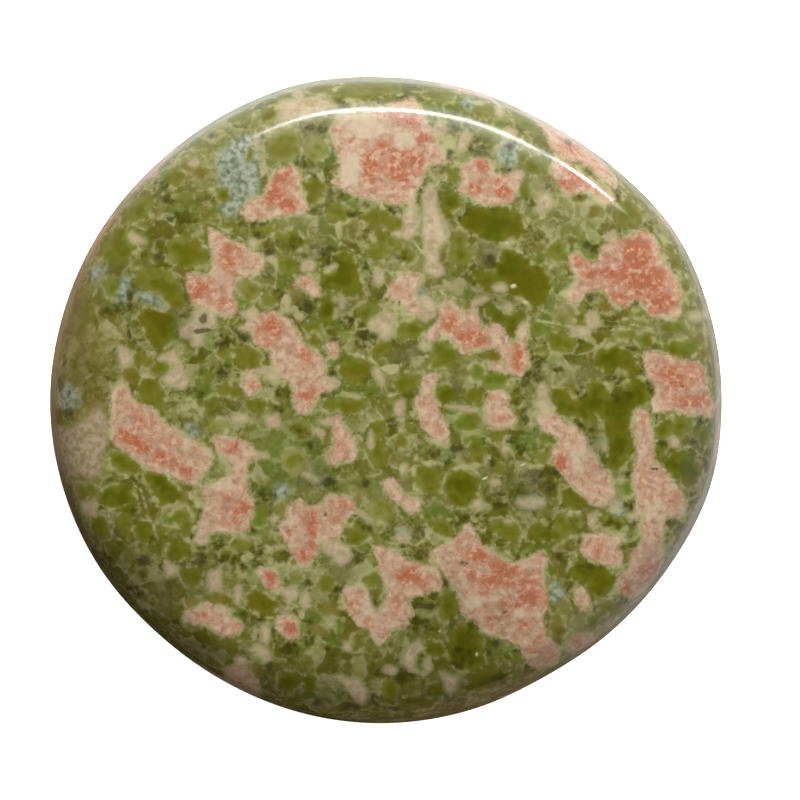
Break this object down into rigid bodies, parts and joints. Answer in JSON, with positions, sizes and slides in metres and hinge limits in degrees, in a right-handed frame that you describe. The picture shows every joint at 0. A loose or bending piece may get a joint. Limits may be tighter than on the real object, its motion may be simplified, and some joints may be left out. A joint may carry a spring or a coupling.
{
  "type": "unakite cabochon",
  "caption": "Round polished gemstone with a low domed face, rounded shoulder and flat back, for setting or display.",
  "frame": {"origin": "middle of the flat back, at the centre of the bounding box's bottom", "axes": "+Z out of the domed face, +X along the longer side of the outline, +Y towards the top of the picture"},
  "size_m": [0.0402, 0.0388, 0.0072],
  "materials": {
    "polished_unakite": "polished"
  },
  "bodies": {
    "root": {"cabochon": "polished_unakite"}
  },
  "joints": []
}
